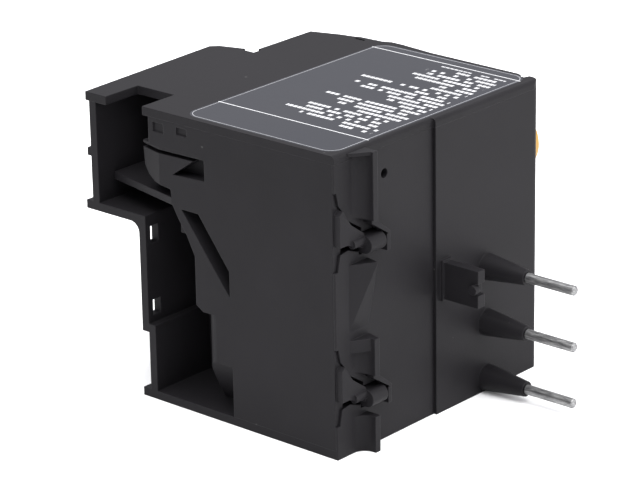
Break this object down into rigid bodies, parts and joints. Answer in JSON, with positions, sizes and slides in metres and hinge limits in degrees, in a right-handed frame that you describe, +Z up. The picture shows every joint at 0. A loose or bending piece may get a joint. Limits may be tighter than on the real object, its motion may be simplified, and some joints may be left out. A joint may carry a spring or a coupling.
{
  "type": "thermal overload relay",
  "caption": "Black plastic thermal overload relay with plug-in pins, rear hooks, setting dial, push buttons, stepped screw terminals and a side cover with a blank label.",
  "frame": {"origin": "middle of the bounding box in plan, at the bench plane under the relay, which lies on its left side wall", "axes": "+X from the plug-in pins to the screw terminals, +Y towards the mounting back, so the front panel faces -Y, +Z up through the side cover"},
  "size_m": [0.065, 0.0478, 0.045],
  "materials": {
    "casing_plastic": "satin moulded",
    "cover_plastic": "satin moulded",
    "label_film": "matt printed film",
    "frame_plastic": "matt moulded",
    "pin_steel": "plated satin",
    "clamp_steel": "zinc plated",
    "screw_steel": "zinc plated",
    "bar_copper": "tinned copper",
    "bimetal_strip": "rolled",
    "heater_wire": "oxidised",
    "slide_plastic": "natural",
    "lever_plastic": "natural",
    "contact_metal": "silver faced",
    "spring_steel": "bright",
    "dial_yellow": "satin",
    "reset_blue": "satin",
    "stop_red": "satin",
    "selector_blue": "satin",
    "flag_green": "satin"
  },
  "bodies": {
    "casing": {"aux_bar_1": "bar_copper", "aux_bar_2": "bar_copper", "aux_bar_3": "bar_copper", "aux_bar_4": "bar_copper", "aux_clamps": "clamp_steel", "aux_screws": "screw_steel", "bimetal_1": "bimetal_strip", "bimetal_2": "bimetal_strip", "bimetal_3": "bimetal_strip", "contact_pivot": "spring_steel", "front_housing": "casing_plastic", "heater_1": "heater_wire", "heater_2": "heater_wire", "heater_3": "heater_wire", "inner_frame": "frame_plastic", "lever_pivot": "spring_steel", "load_bar_1": "bar_copper", "load_bar_2": "bar_copper", "load_bar_3": "bar_copper", "load_clamps": "clamp_steel", "load_screws": "screw_steel", "main_housing": "casing_plastic", "main_pin_1": "pin_steel", "main_pin_2": "pin_steel", "main_pin_3": "pin_steel", "nc_contact": "contact_metal", "no_contact": "contact_metal", "rating_label": "label_film", "rear_base": "casing_plastic", "reset_spring": "spring_steel", "side_cover": "cover_plastic", "snap_spring": "spring_steel", "stop_spring": "spring_steel", "terminal_block": "casing_plastic"},
    "dial": {"setting_dial": "dial_yellow", "dial_cam": "slide_plastic"},
    "adjusting_lever_body": {"adjusting_lever": "lever_plastic"},
    "trip_slide_body": {"trip_slide": "slide_plastic"},
    "phase_loss_slide_body": {"phase_loss_slide": "slide_plastic"},
    "trip_lever_body": {"trip_lever": "lever_plastic", "compensating_bimetal": "bimetal_strip"},
    "contact_lever_body": {"contact_lever": "lever_plastic", "moving_contact": "contact_metal"},
    "reset_button_body": {"reset_button": "reset_blue"},
    "stop_button_body": {"stop_button": "stop_red"},
    "mode_selector_body": {"mode_selector": "selector_blue"},
    "trip_flag_body": {"trip_flag": "flag_green"}
  },
  "joints": [
    {"name": "dial_turn", "type": "hinge", "parent": "casing", "child": "dial", "pos_m": [-0.0097, 0, 0.0338], "axis": [0, 1, 0], "range_deg": [0, 270]},
    {"name": "adjusting_lever_swing", "type": "hinge", "parent": "casing", "child": "adjusting_lever_body", "pos_m": [0.004, 0, 0.0338], "axis": [0, 1, 0], "range_deg": [0, 7]},
    {"name": "trip_slide_push", "type": "slide", "parent": "casing", "child": "trip_slide_body", "axis": [0, 0, 1], "range_m": [0, 0.0018]},
    {"name": "phase_loss_slide_push", "type": "slide", "parent": "casing", "child": "phase_loss_slide_body", "axis": [0, 0, 1], "range_m": [0, 0.0016]},
    {"name": "trip_lever_swing", "type": "hinge", "parent": "casing", "child": "trip_lever_body", "pos_m": [0.002, 0, 0.0312], "axis": [0, -1, 0], "range_deg": [0, 10.5]},
    {"name": "contact_lever_swing", "type": "hinge", "parent": "casing", "child": "contact_lever_body", "pos_m": [-0.004, 0, 0.038], "axis": [0, -1, 0], "range_deg": [0, 10]},
    {"name": "reset_press", "type": "slide", "parent": "casing", "child": "reset_button_body", "axis": [0, 1, 0], "range_m": [0, 0.0012], "stiffness_N_per_m": 500, "deforming": ["reset_spring"]},
    {"name": "stop_press", "type": "slide", "parent": "casing", "child": "stop_button_body", "axis": [0, 1, 0], "range_m": [0, 0.0012], "stiffness_N_per_m": 500, "deforming": ["stop_spring"]},
    {"name": "mode_turn", "type": "hinge", "parent": "casing", "child": "mode_selector_body", "pos_m": [-0.001, 0, 0.0215], "axis": [0, 1, 0], "range_deg": [0, 90]},
    {"name": "flag_shift", "type": "slide", "parent": "casing", "child": "trip_flag_body", "axis": [1, 0, 0], "range_m": [0, 0.0018]}
  ],
  "couplings": [
    {"joint": "adjusting_lever_swing", "follows": "dial_turn", "ratio": 0.0248},
    {"joint": "trip_lever_swing", "follows": "trip_slide_push", "rad_per_m": 95},
    {"joint": "contact_lever_swing", "follows": "trip_slide_push", "rad_per_m": 90},
    {"joint": "flag_shift", "follows": "trip_slide_push", "ratio": 1}
  ]
}
